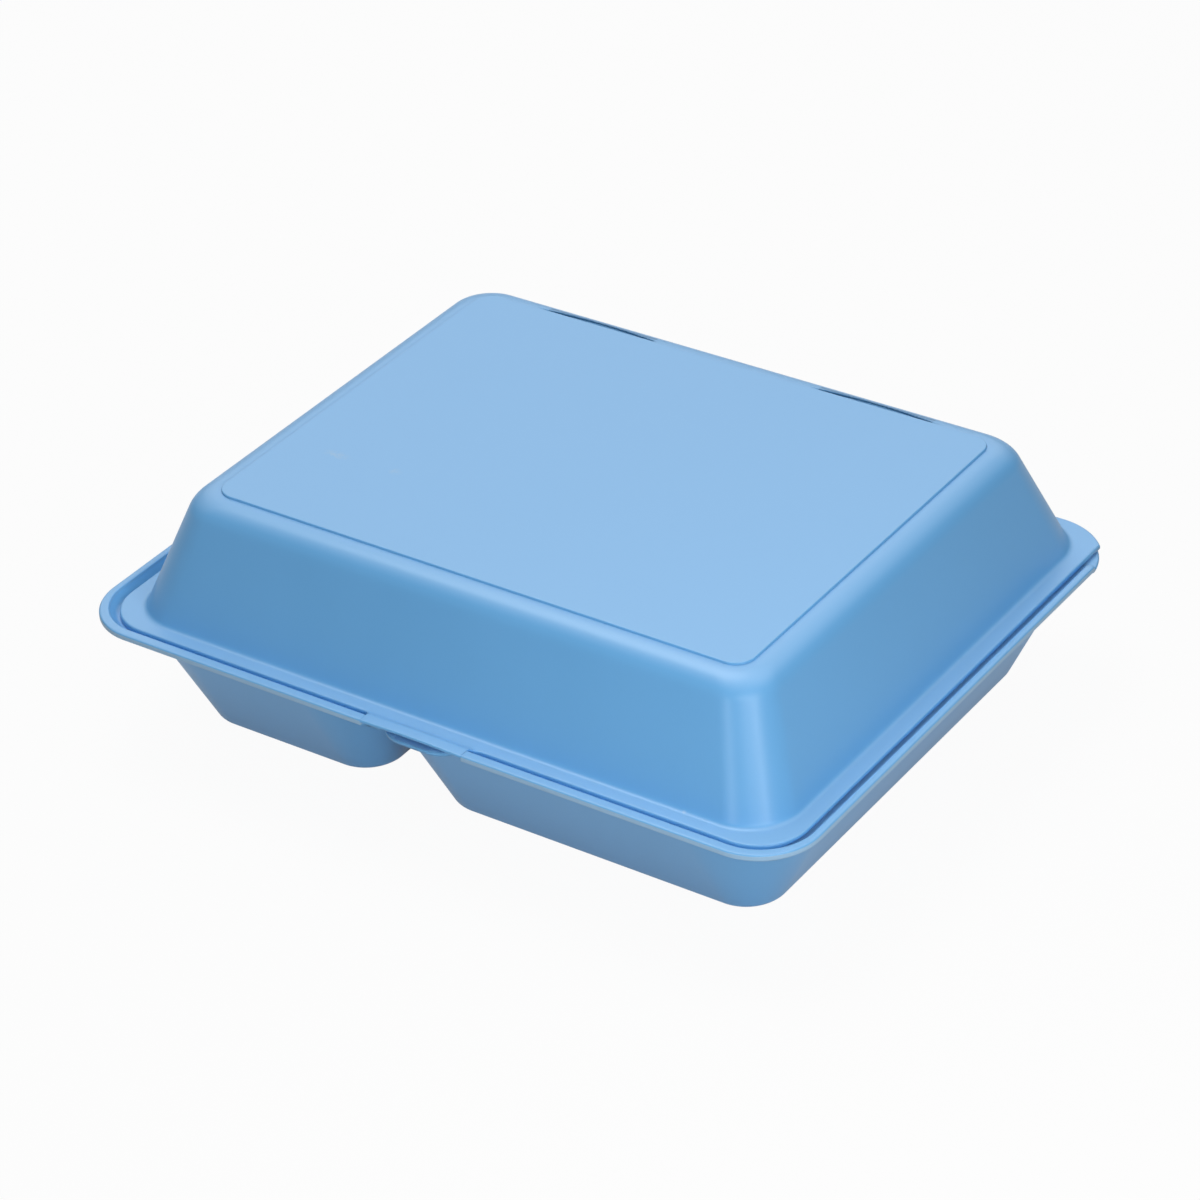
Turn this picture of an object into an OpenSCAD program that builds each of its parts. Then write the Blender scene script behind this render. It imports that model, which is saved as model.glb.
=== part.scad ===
// Reusable hinged takeout box with two compartments.
// One polypropylene moulding: a base tray and a deep lid joined by a thin bending strip along the back.
// The origin is at the middle of the footprint, on the surface the box stands on. Front is -Y, hinge is +Y.

/* [Overall] */
// Width of the rim, left to right
box_w = 254; // [230:1:280]
// Depth of the rim, front edge to back edge
rim_d = 202; // [190:1:220]
// Height of the closed box, floor to the raised panel on the lid
box_h = 80.7; // [74:0.1:90]
// Thickness of the walls and floors
wall = 2; // [1.6:0.1:2.4]

/* [Rim of the base] */
// Height of the top of the raised lip
lip_h = 43.4; // [42:0.1:45]
// Height of the shelf that the lid rests on
shelf_h = 40.2; // [38:0.1:41]
// Thickness of the shelf
shelf_t = 2; // [1.6:0.1:2.4]
// Width of the lip's flat top at the sides
lip_side = 2.2; // [1.8:0.1:2.8]
// Width of the lip's flat top at the front
lip_front = 3.1; // [2.4:0.1:3.6]
// Height of the rim's outer face
edge_h = 2; // [1.5:0.1:2.4]
// Rounding of the lip's edges
lip_r = 0.7; // [0.4:0.1:0.9]
// Radius of the rim's front corners
rim_front_r = 20; // [17:0.5:24]
// Radius of the rim's back corners
rim_back_r = 22.5; // [20:0.5:27]
// How far the plate behind the ends of the lip stays inside the rim's sides
plate_side = 1.4; // [1:0.1:3.4]
// Distance from the back edge to the ends of the lip
lip_end = 20.5; // [15:0.5:30]

/* [Compartments] */
// Distance from the rim's side edges to the walls, at the shelf
side_in = 5.7; // [5:0.1:7]
// Distance from the rim's front edge to the front wall, at the shelf
front_in = 6.1; // [5:0.1:7]
// Distance from the rim's back edge to the back wall, at the shelf
back_in = 5.2; // [4.8:0.1:7]
// Lean of the side walls from upright, degrees
side_draft = 25.6; // [22:0.1:28]
// Lean of the front wall from upright, degrees
front_draft = 27.3; // [24:0.1:29]
// Lean of the back wall from upright, degrees
back_draft = 20.6; // [18:0.1:24]
// Radius of the front outer corners at the shelf
corner_front_r = 34; // [31:0.5:36]
// Radius of the back outer corners at the shelf
corner_back_r = 28.5; // [26:0.5:31]
// Radius of the corners beside the divider at the shelf
corner_inner_r = 28.5; // [26:0.5:30]
// How fast the corner radii shrink as the walls lean in
corner_taper = 1.05; // [0.9:0.01:1.1]
// Radius between walls and floor
floor_r = 2; // [1.5:0.1:3]
// Height where the inner walls turn upright below the shelf
land_h = 37.4; // [36:0.1:37.8]

/* [Divider] */
// Distance from the box's middle to the divider, to the left
divider_x = 23.3; // [15:0.5:30]
// Height of the top of the open channel under the divider
channel_h = 30; // [26:0.5:31]
// Lean of the divider's walls from upright, degrees
divider_draft = 20.8; // [18:0.1:23]
// Radius of the divider's rounded crest
crest_r = 1.2; // [0.9:0.1:1.5]
// How far the two hollows run into each other above the crest
crest_lap = 1; // [0.5:0.1:1.5]

/* [Lid] */
// Distance from the rim's side edges to the edge of the lid's flange
flange_side = 5.3; // [5:0.1:6]
// Distance from the rim's front edge to the edge of the lid's flange
flange_front = 6; // [5.6:0.1:6.6]
// Thickness of the lid's flange
flange_t = 2; // [1.6:0.1:2.4]
// Radius of the flange's front corners
flange_r = 15.9; // [13:0.1:18]
// Rounding of the flange's outer edge
flange_edge_r = 0.8; // [0.4:0.1:0.9]
// Width of the flange at the sides
flange_side_w = 5.9; // [5:0.1:7]
// Width of the flange at the front
flange_front_w = 5.2; // [4.8:0.1:6.5]
// Width of the flange at the back
flange_back_w = 4.2; // [4:0.1:5.5]
// Thickness of the lid's walls and top
lid_wall = 1.8; // [1.4:0.1:2.2]
// Lean of the lid's front and back walls from upright, degrees
lid_end_draft = 22; // [19:0.1:23]
// Lean of the lid's side walls from upright, degrees
lid_side_draft = 20.4; // [18:0.1:22]
// Radius of the lid's upright corners where they meet the flange
lid_corner_r = 16.6; // [14:0.1:20]
// How fast the lid's corner radii shrink as the walls lean in
lid_corner_taper = 0.27; // [0.2:0.01:0.35]
// Radius of the soft shoulder between walls and top
shoulder_r = 9; // [7:0.1:9.5]
// Radius of the hollow where the walls meet the flange
foot_r = 1.8; // [1:0.1:2.4]

/* [Raised panel] */
// Width of the raised panel on the lid
panel_w = 188.7; // [180:0.1:190]
// Depth of the raised panel
panel_d = 142.7; // [136:0.1:143]
// Height of the step around the panel
panel_step = 0.8; // [0.4:0.1:1.2]
// Radius of the panel's corners
panel_r = 6.5; // [4:0.1:9]

/* [Pockets at the back of the panel] */
// Length of each pocket
pocket_len = 39.5; // [30:0.5:44]
// Distance of each pocket's middle from the box's middle
pocket_x = 50.8; // [40:0.1:60]
// Width of each pocket at its middle
pocket_w = 3; // [2:0.1:3.6]
// Depth of each pocket below the lid's shoulder
pocket_depth = 5; // [2:0.5:8]
// Wall left under and around each pocket
pocket_skin = 1.2; // [0.8:0.1:1.6]

/* [Latch] */
// Width of the tab on the lid
tab_w = 36; // [30:0.1:38]
// Height of the tab's top above the lid's flange
tab_rise = 1.6; // [0.8:0.1:1.8]
// Thickness of the tab at its outer edge
tab_edge_t = 0.9; // [0.8:0.1:1.2]
// Radius of the tab's outer corners
tab_r = 1.6; // [1:0.1:2.4]
// Gap between the tab and the ends of the lip
tab_gap = 0.2; // [0.1:0.05:0.5]
// Width of the finger tongue on the base
tongue_w = 28; // [21:0.5:30]
// Thickness of the tongue
tongue_t = 1.2; // [1:0.1:1.6]
// Distance of the tongue's edge behind the rim's front edge
tongue_in = 0.8; // [0.5:0.1:1.8]
// Radius of the tongue's outer corners
tongue_r = 9; // [4:0.1:10]
// How far the notches beside the tongue reach in from the front edge
notch_in = 4.6; // [3.6:0.1:5]

/* [Living hinge] */
// Length of the bending strip
hinge_len = 190; // [150:1:200]
// Thickness of the bending strip
hinge_t = 0.4; // [0.3:0.05:0.5]
// How far the folded strip stands out behind the rim
hinge_out = 1; // [0.8:0.1:1.3]

/* [Smoothness] */
// Steps along each rounded corner
corner_steps = 12; // [6:1:16]
// Steps along each rounded edge
edge_steps = 7; // [4:1:10]

/* [Hidden] */
shell_blue = [0.50, 0.69, 0.87];
eps = 0.01;
half_w = box_w / 2;
front_y = -(rim_d + hinge_out) / 2;
back_y = front_y + rim_d;
underside_h = shelf_h - shelf_t;
edge_low_h = lip_h - edge_h;
// The lid turns about this line; it lies just above the shelf, so that the opened lid lies level with the base
hinge_rise = 0.15;
hinge_h = shelf_h + hinge_rise;
hinge_bend_r = hinge_out - hinge_t;
// Flange and walls of the lid
flange_x = half_w - flange_side;
flange_front_y = front_y + flange_front;
flange_top = shelf_h + flange_t;
foot_x = flange_x - flange_side_w;
foot_front_y = flange_front_y + flange_front_w;
foot_back_y = back_y - flange_back_w;
lid_mid_y = (foot_front_y + foot_back_y) / 2;
shoulder_top = box_h - panel_step;
// Middle of the divider, and the clearance from the lid's flange to the foot of the lip's inner slope
divider = -divider_x;
slope_gap = 0.4;
// Half of the length that the lip is cut away at the latch
latch_half = tab_w / 2 + tab_gap;
// Steps along the small hollow at the foot of the lid's wall
foot_steps = 4;

// Points along an arc, as [x, y]
function arc(cx, cy, r, from, to, steps) =
    [for (i = [0:steps]) let (a = from + (to - from) * i / steps) [cx + r * cos(a), cy + r * sin(a)]];

// Outline of a box with its own radius at each corner: front left, front right, back right, back left
function outline(x0, x1, y0, y1, r, steps = corner_steps) = concat(
    arc(x0 + r[0], y0 + r[0], r[0], 180, 270, steps),
    arc(x1 - r[1], y0 + r[1], r[1], 270, 360, steps),
    arc(x1 - r[2], y1 - r[2], r[2], 0, 90, steps),
    arc(x0 + r[3], y1 - r[3], r[3], 90, 180, steps));

// The outline set at a height
function ring(flat, z) = [for (p = flat) [p[0], p[1], z]];

// Extra lean-in of a wall at height z where it rounds into a floor at z0
function floor_curve(z, z0, r) = z < z0 + r ? r - sqrt(max(0, r * r - pow(z0 + r - z, 2))) : 0;

// Heights of the rings through a rounded floor edge
function floor_levels(z0, r) = [for (i = [0:edge_steps]) z0 + r * (1 - cos(90 * i / edge_steps))];

// The same list from its end to its start
function reversed(list) = [for (i = [len(list) - 1:-1:0]) list[i]];

// A solid through a stack of rings with as many points each; closed = true joins the last ring to the first
module loft(rings, closed = false) {
    count = len(rings[0]);
    last = len(rings) - 1;
    points = [for (one = rings) each one];
    sides = [for (k = [0:closed ? last : last - 1], i = [0:count - 1])
        let (a = k * count, b = ((k + 1) % (last + 1)) * count, j = (i + 1) % count)
        each [[a + i, b + j, a + j], [a + i, b + i, b + j]]];
    caps = closed ? [] : [[for (i = [0:count - 1]) i], [for (i = [count - 1:-1:0]) last * count + i]];
    polyhedron(points, concat(sides, caps), convexity = 8);
}

// Outline of the rim, moved in by its own amount at the sides, front and back
function rim_outline(side, front, back) = outline(
    -half_w + side, half_w - side, front_y + front, back_y - back,
    [rim_front_r - side, rim_front_r - side, rim_back_r - side, rim_back_r - side]);

// Section of the raised lip, from its inner foot round the outside to the underside: share across, height
module lip() {
    slope_side = flange_side - slope_gap;
    slope_front = flange_front - slope_gap;
    rounding = [for (a = [0:22.5:90]) [lip_r * (1 - sin(a)), lip_h - lip_r * (1 - cos(a))]];
    inner_round = [for (a = [0:22.5:67.5]) [-lip_r * (1 - sin(a)), lip_h - lip_r * (1 - cos(a))]];
    under = shelf_t * 0.8;
    section = concat(
        [[slope_side + wall, slope_front + wall, underside_h]],
        [[slope_side + wall, slope_front + wall, shelf_h]],
        [[slope_side, slope_front, shelf_h]],
        [for (i = [len(inner_round) - 1:-1:0]) [lip_side + inner_round[i][0], lip_front + inner_round[i][0],
            inner_round[i][1]]],
        [for (p = rounding) [p[0], p[0], p[1]]],
        [[0, 0, edge_low_h]],
        [[lip_side - under / 4, lip_side - under / 4, edge_low_h]],
        [[slope_side - under, slope_front - under, underside_h]]);
    loft(reversed([for (s = section) ring(rim_outline(s[0], s[1], s[0]), s[2])]), closed = true);
}

// Flat shelf plate inside the lip, the size of the whole opening; the hollows are cut from it later
module shelf() {
    inset_side = flange_side - slope_gap;
    inset_front = flange_front - slope_gap;
    translate([0, 0, underside_h])
        linear_extrude(shelf_t)
            polygon(rim_outline(inset_side, inset_front, inset_side));
}

// Plate along the back, at the height of the shelf, that carries the bending strip
module back_plate() {
    translate([0, 0, underside_h])
        linear_extrude(shelf_t)
            intersection() {
                polygon(outline(-half_w + plate_side, half_w - plate_side, front_y, back_y,
                    [for (i = [0:3]) rim_back_r - plate_side]));
                translate([-half_w, back_y - lip_end])
                    square([box_w, lip_end]);
            }
}

// Inset of a leaning wall at height z, for a shell whose floor is at z0 and which is offset by skin
function lean(z, inset, draft, skin, z0) =
    inset + skin / cos(draft) + tan(draft) * (shelf_h - z) + floor_curve(z, z0, floor_r);

// Distance of the divider's wall from the divider's middle at height z
function divider_lean(z, skin, z0) =
    skin / cos(divider_draft) + tan(divider_draft) * (channel_h - z) + floor_curve(z, z0, floor_r);

// One level of a compartment; side is -1 for the left one and 1 for the right one
function pan_level(side, z, skin, z0, inner) =
    let (
        outer = lean(z, side_in, side_draft, skin, z0),
        front = lean(z, front_in, front_draft, skin, z0),
        back = lean(z, back_in, back_draft, skin, z0),
        start = divider_lean(shelf_h, skin, z0),
        shrink = corner_taper,
        front_r = corner_front_r - skin - shrink * (front - front_in - skin / cos(front_draft)),
        back_r = corner_back_r - skin - shrink * (back - back_in - skin / cos(back_draft)),
        inner_r = corner_inner_r - skin - shrink * (divider_lean(z, skin, z0) - start),
        near_x = divider + side * inner,
        far_x = side * (half_w - outer),
        r = side < 0 ? [front_r, inner_r, inner_r, back_r] : [inner_r, front_r, back_r, inner_r])
    ring(outline(min(near_x, far_x), max(near_x, far_x), front_y + front, back_y - back, r), z);

// Outside of one compartment, from the floor to the shelf's underside
module pan(side) {
    levels = concat(floor_levels(0, floor_r), [underside_h + shelf_t / 2]);
    loft([for (z = levels) pan_level(side, z, 0, 0, divider_lean(z, 0, 0))]);
}

// Hollow of one compartment; above the divider's crest the two hollows meet
module hollow(side) {
    crest_h = channel_h + (wall - crest_r) / sin(divider_draft);
    crest_steps = 4;
    low = concat(floor_levels(wall, floor_r), [crest_h]);
    crest = [for (i = [1:crest_steps - 1]) let (a = 90 * i / crest_steps)
        [crest_h + crest_r * sin(a), (crest_r / cos(divider_draft)) * cos(a)]];
    crest_top = crest_h + crest_r;
    loft(concat(
        [for (z = low) pan_level(side, z, wall, wall, divider_lean(z, wall, wall))],
        [for (c = crest) pan_level(side, c[0], wall, wall, c[1])],
        [pan_level(side, crest_top, wall, wall, -crest_lap)],
        [pan_level(side, land_h, wall, wall, -crest_lap)],
        [ring([for (p = pan_level(side, land_h, wall, wall, -crest_lap)) [p[0], p[1]]], lip_h)]));
}

// Flat tongue under the lid's tab, for the finger that holds the base
module tongue() {
    translate([0, 0, shelf_h - tongue_t])
        linear_extrude(tongue_t)
            polygon(outline(-tongue_w / 2, tongue_w / 2, front_y + tongue_in, front_y + 2.4 * flange_front,
                [tongue_r, tongue_r, 1, 1]));
}

// The tray that holds the food
module base_tray() {
    color(shell_blue)
    difference() {
        union() {
            difference() {
                union() {
                    lip();
                    shelf();
                }
                // The lip stops before the back corners
                translate([-box_w, back_y - lip_end, shelf_h])
                    cube([2 * box_w, rim_d, lip_h]);
                for (side = [-1, 1]) {
                    translate([side * (half_w + plate_side) - 2 * plate_side, back_y - lip_end, 0])
                        cube([4 * plate_side, rim_d, lip_h]);
                }
                // The rim is open at the latch
                translate([-latch_half, front_y - wall, underside_h - wall])
                    cube([2 * latch_half, notch_in + wall, lip_h]);
                translate([-latch_half, front_y - wall, shelf_h])
                    cube([2 * latch_half, flange_front + wall, lip_h]);
            }
            back_plate();
            tongue();
            pan(-1);
            pan(1);
        }
        hollow(-1);
        hollow(1);
    }
}

// Outline of the lid's flange moved in by some amount: its back corners follow the rim's corners
function flange_outline(inset) =
    let (
        x = flange_x - inset,
        r = rim_back_r - inset,
        cx = half_w - rim_back_r,
        cy = back_y - rim_back_r,
        start = acos((x - cx) / r),
        front_r = flange_r - inset)
    concat(
        arc(-x + front_r, flange_front_y + inset + front_r, front_r, 180, 270, corner_steps),
        arc(x - front_r, flange_front_y + inset + front_r, front_r, 270, 360, corner_steps),
        arc(cx, cy, r, start, 90, corner_steps),
        arc(-cx, cy, r, 90, 180 - start, corner_steps));

// Outline of the lid's wall at a lean-in of side, end from the foot
function lid_outline(side, end) =
    let (r = lid_corner_r - lid_corner_taper * end)
    outline(-foot_x + side, foot_x - side, foot_front_y + end, foot_back_y - end, [r, r, r, r]);

// Lean-in of the lid's outer wall at a share of the shoulder's turn, with the height: [lean-in, height]
function shoulder_point(draft, turn, skin) =
    let (
        centre_h = shoulder_top - shoulder_r,
        centre_in = tan(draft) * (centre_h - flange_top) + shoulder_r / cos(draft),
        a = draft + (90 - draft) * turn,
        r = shoulder_r - skin)
    [centre_in - r * cos(a), centre_h + r * sin(a)];

// One ring of the shoulder, at a share of its turn
function shoulder_ring(turn, skin) =
    let (s = shoulder_point(lid_side_draft, turn, skin), e = shoulder_point(lid_end_draft, turn, skin))
    ring(lid_outline(s[0], e[0]), e[1]);

// Lean-in and height of the hollow at the wall's foot, at a share of its turn from the wall to the flange
function foot_point(draft, turn) =
    let (a = 180 + draft + (90 - draft) * turn)
    [-foot_r * (1 / cos(draft) - tan(draft) + cos(a)), flange_top + foot_r * (1 + sin(a))];

// One ring of the hollow at the foot, at a share of its turn
function foot_ring(turn) =
    let (s = foot_point(lid_side_draft, turn), e = foot_point(lid_end_draft, turn))
    ring(lid_outline(s[0], e[0]), e[1]);

// Outline of the raised panel moved in by some amount, set at a height
function panel_ring(inset, z) = ring(outline(
    -panel_w / 2 + inset, panel_w / 2 - inset, lid_mid_y - panel_d / 2 + inset, lid_mid_y + panel_d / 2 - inset,
    [for (i = [0:3]) panel_r - inset]), z);

// The lid's shell, as one closed skin from the middle of the top round the flange to the inside
module lid_shell() {
    panel_round = 0.3;
    edge = [for (a = [0:22.5:90]) [flange_edge_r * (1 - sin(a)), flange_top - flange_edge_r * (1 - cos(a))]];
    turns = [for (i = [0:edge_steps]) 1 - i / edge_steps];
    inner_foot_side = lid_wall / cos(lid_side_draft) - tan(lid_side_draft) * (flange_top - shelf_h);
    inner_foot_end = lid_wall / cos(lid_end_draft) - tan(lid_end_draft) * (flange_top - shelf_h);
    loft(reversed(concat(
        [panel_ring(panel_round, box_h)],
        [panel_ring(0, box_h - panel_round)],
        [panel_ring(0, shoulder_top)],
        [for (t = turns) shoulder_ring(t, 0)],
        [for (i = [0:foot_steps]) foot_ring(i / foot_steps)],
        [for (e = edge) ring(flange_outline(e[0]), e[1])],
        [ring(flange_outline(0), shelf_h)],
        [ring(lid_outline(inner_foot_side, inner_foot_end), shelf_h)],
        [for (i = [edge_steps:-1:0]) shoulder_ring(turns[i], lid_wall)])));
}

// Lens-shaped outline with a straight front side and a bowed back side
module pocket_outline(length, width) {
    bow_r = (length * length / 4 + width * width) / (2 * width);
    intersection() {
        translate([0, width - bow_r])
            circle(r = bow_r, $fn = 180);
        translate([-length / 2, 0])
            square([length, width]);
    }
}

// One pocket at the back edge of the panel, cut or, with a skin, its wall below
module pocket(side, skin) {
    grow = 2 * skin;
    translate([side * pocket_x, lid_mid_y + panel_d / 2 - skin, shoulder_top - pocket_depth - skin])
        linear_extrude(skin > 0 ? pocket_depth : box_h)
            pocket_outline(pocket_len + 2 * grow, pocket_w + grow);
}

// Tab at the middle of the lid's front edge, over the gap in the rim
module tab() {
    inner_y = flange_front_y + flange_front_w / 2;
    top = flange_top + tab_rise;
    ramp = 1.4 * tab_rise;
    outer_low = top - tab_edge_t;
    section = [
        [inner_y, shelf_h],
        [flange_front_y + flange_edge_r, shelf_h],
        [flange_front_y - ramp, outer_low],
        [front_y, outer_low],
        [front_y, top - lip_r / 2],
        [front_y + lip_r / 2, top],
        [flange_front_y - ramp, top],
        [flange_front_y, flange_top],
        [inner_y, flange_top]];
    intersection() {
        translate([-tab_w / 2, 0, 0])
            rotate([90, 0, 90])
                linear_extrude(tab_w)
                    polygon(section);
        linear_extrude(box_h)
            polygon(outline(-tab_w / 2, tab_w / 2, front_y, inner_y, [tab_r, tab_r, eps, eps]));
    }
}

// The deep lid
module lid() {
    color(shell_blue)
    difference() {
        union() {
            lid_shell();
            for (side = [-1, 1]) {
                pocket(side, pocket_skin);
            }
            tab();
        }
        for (side = [-1, 1]) {
            pocket(side, 0);
        }
    }
}

// Thin strip along the back that bends when the lid opens, folded as in the closed box
module living_hinge() {
    color(shell_blue)
    translate([-hinge_len / 2, back_y, hinge_h])
        rotate([90, 0, 90])
            linear_extrude(hinge_len)
                intersection() {
                    difference() {
                        circle(r = hinge_out, $fn = 64);
                        circle(r = hinge_bend_r, $fn = 64);
                    }
                    translate([0, -hinge_out])
                        square([hinge_out, 2 * hinge_out]);
                }
}

base_tray();
lid();
living_hinge();
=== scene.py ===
import math
import bpy
import bmesh
import numpy as np
from mathutils import Matrix, Vector


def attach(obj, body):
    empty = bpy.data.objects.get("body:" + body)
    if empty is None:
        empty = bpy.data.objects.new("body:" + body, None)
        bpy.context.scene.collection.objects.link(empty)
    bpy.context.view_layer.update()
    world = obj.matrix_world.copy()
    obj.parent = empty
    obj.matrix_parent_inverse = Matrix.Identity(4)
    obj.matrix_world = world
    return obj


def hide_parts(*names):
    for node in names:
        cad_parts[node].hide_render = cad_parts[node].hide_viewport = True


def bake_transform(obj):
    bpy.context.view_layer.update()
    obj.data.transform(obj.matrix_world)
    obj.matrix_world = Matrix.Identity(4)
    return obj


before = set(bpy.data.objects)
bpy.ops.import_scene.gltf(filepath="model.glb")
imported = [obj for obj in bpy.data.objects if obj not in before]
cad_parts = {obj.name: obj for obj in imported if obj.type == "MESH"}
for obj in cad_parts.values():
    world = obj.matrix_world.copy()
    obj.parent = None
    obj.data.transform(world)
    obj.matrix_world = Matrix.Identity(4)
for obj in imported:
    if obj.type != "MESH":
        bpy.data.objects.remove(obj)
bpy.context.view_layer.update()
print("frame loaded")

mm = 0.001
scene = bpy.context.scene


# curves and grids

def fade(t):  # 0 below 0, 1 above 1, with the smooth cubic 3t^2 - 2t^3 between
    t = np.clip(t, 0.0, 1.0)
    return t * t * (3 - 2 * t)


def arc(cx, cy, r, fromDeg, toDeg, count):  # points on a circle at evenly spaced angles
    a = np.radians(np.linspace(fromDeg, toDeg, count))
    return np.stack([cx + r * np.cos(a), cy + r * np.sin(a)], axis=1)


def line(x0, y0, x1, y1, share):  # points on a straight line at the given shares of its length
    share = np.asarray(share, float)
    return np.stack([x0 + (x1 - x0) * share, y0 + (y1 - y0) * share], axis=1)


def atHeight(flat, z):  # adds the height to plan points, one value or one per point
    return np.column_stack([flat, np.broadcast_to(z, len(flat))])


def gridFaces(rows, columns, around, offset=0, flip=False):
    # quads between neighbouring rows and columns of a grid, wrapping in the column direction if asked
    r = np.arange(rows - 1)[:, None]
    c = np.arange(columns if around else columns - 1)[None, :]
    n = (c + 1) % columns
    low, high = r * columns, (r + 1) * columns
    quads = np.stack([low + c, low + n, high + n, high + c], axis=-1).reshape(-1, 4) + offset
    return quads[:, ::-1] if flip else quads


def closedTube(grid):
    # faces between rows of closed rings, with a cap on the first and on the last ring
    count, n = grid.shape[:2]
    caps = [list(range(n))[::-1], list(range(n * (count - 1), n * count))]
    return gridFaces(count, n, True).tolist() + caps


def cosDeg(a):
    return math.cos(math.radians(a))


def sinDeg(a):
    return math.sin(math.radians(a))


def cosSin(a):  # cosine and sine of an angle in degrees
    return cosDeg(a), sinDeg(a)


def tanDeg(a):
    return math.tan(math.radians(a))


def buildMesh(name, points, faces, material, merge=0.002):
    # one object at the origin from points in millimetres and lists of faces; close points are merged
    mesh = bpy.data.meshes.new(name)
    mesh.from_pydata((np.asarray(points) * mm).tolist(), [], faces)
    tidy = bmesh.new()
    tidy.from_mesh(mesh)
    bmesh.ops.remove_doubles(tidy, verts=tidy.verts, dist=merge * mm)
    bmesh.ops.dissolve_degenerate(tidy, edges=tidy.edges, dist=0.0005 * mm)
    tidy.to_mesh(mesh)
    tidy.free()
    mesh.polygons.foreach_set("use_smooth", np.ones(len(mesh.polygons), bool))
    mesh.materials.append(material)
    obj = bpy.data.objects.new(name, mesh)
    scene.collection.objects.link(obj)
    print(name, len(mesh.polygons), "faces")
    return obj


# materials

class Value:  # a shader socket that understands Python's arithmetic
    def __init__(self, shader, socket):
        self.shader, self.socket = shader, socket

    def maths(self, operation, other=0.0, swap=False):
        pair = (other, self) if swap else (self, other)
        return self.shader.node("ShaderNodeMath", {"operation": operation}, {0: pair[0], 1: pair[1]})

    def __add__(self, other):
        return self.maths("ADD", other)

    def __radd__(self, other):
        return self.maths("ADD", other, True)

    def __sub__(self, other):
        return self.maths("SUBTRACT", other)

    def __rsub__(self, other):
        return self.maths("SUBTRACT", other, True)

    def __mul__(self, other):
        return self.maths("MULTIPLY", other)

    def __rmul__(self, other):
        return self.maths("MULTIPLY", other, True)

    def __truediv__(self, other):
        return self.maths("DIVIDE", other)

    def __rtruediv__(self, other):
        return self.maths("DIVIDE", other, True)

    def __pow__(self, other):
        return self.maths("POWER", other)


class Shader:  # one material and its nodes
    def __init__(self, name):
        self.material = bpy.data.materials.new(name)
        self.material.use_nodes = True
        self.tree = self.material.node_tree
        self.tree.nodes.clear()
        self.output = self.tree.nodes.new("ShaderNodeOutputMaterial")

    def node(self, kind, settings=None, inputs=None, out=0):
        made = self.tree.nodes.new(kind)
        for key, value in (settings or {}).items():
            setattr(made, key, value)
        for key, value in (inputs or {}).items():
            if isinstance(value, Value):
                self.tree.links.new(value.socket, made.inputs[key])
            else:
                made.inputs[key].default_value = value
        return Value(self, made.outputs[out])

    def place(self):  # position on the piece, in metres
        return self.node("ShaderNodeTexCoord", out="Object")

    def noise(self, scale, detail=2.0, roughness=0.5, stretch=(1, 1, 1)):
        moved = self.node("ShaderNodeMapping", {}, {"Vector": self.place(), "Scale": stretch})
        return self.node("ShaderNodeTexNoise", {}, {"Vector": moved, "Scale": scale, "Detail": detail,
                                                    "Roughness": roughness})

    def remap(self, value, low, high):  # 0 at low and 1 at high, with the smooth cubic between
        return self.node("ShaderNodeMapRange", {"interpolation_type": "SMOOTHSTEP"},
                         {"Value": value, "From Min": low, "From Max": high})

    def mix(self, share, first, second):
        return self.node("ShaderNodeMix", {"data_type": "RGBA"}, {0: share, 6: first, 7: second}, out=2)

    def within(self, centre, size):  # position counted from a centre, in half sizes
        return self.node("ShaderNodeMapping", {"vector_type": "TEXTURE"},
                         {"Vector": self.place(), "Location": centre, "Scale": size})

    def part(self, vector, axis):
        return self.node("ShaderNodeSeparateXYZ", {}, {0: vector}, out=axis)

    def spot(self, centre, size):  # 1 at a centre, falling to 0 at an ellipsoid of the given half sizes
        reach = self.node("ShaderNodeVectorMath", {"operation": "LENGTH"}, {0: self.within(centre, size)},
                          out="Value")
        return self.remap(reach, 1.0, 0.2)

    def finish(self, surface):
        self.tree.links.new(surface.socket, self.output.inputs["Surface"])
        return self.material


plasticLook = {
    "base": (0.142, 0.405, 0.735, 1),  # light blue of the moulding
    "deep": (0.134, 0.390, 0.712, 1),
    "paintedTopSheen": (0.232, 0.484, 0.800, 1),  # painted sheen: paler where the face looks up, as if lit from above
    "paintedReflection": (0.40, 0.52, 0.60, 1),  # painted reflection: greyer on the rim's outer face
    "paintedReflectionShare": 0.55,
    "flexed": (0.42, 0.60, 0.78, 1),  # paler where the strip is bent
    "shade": (0.02, 0.06, 0.13, 1),  # painted shade deep in the pockets
    "shadeShare": 0.8,
    "roughness": 0.33,
    "roughnessSwing": 0.05,
    "grain": 0.00002,
    "bump": 0.12,
    "specular": 0.42,
    "ior": 1.49,
}


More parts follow.
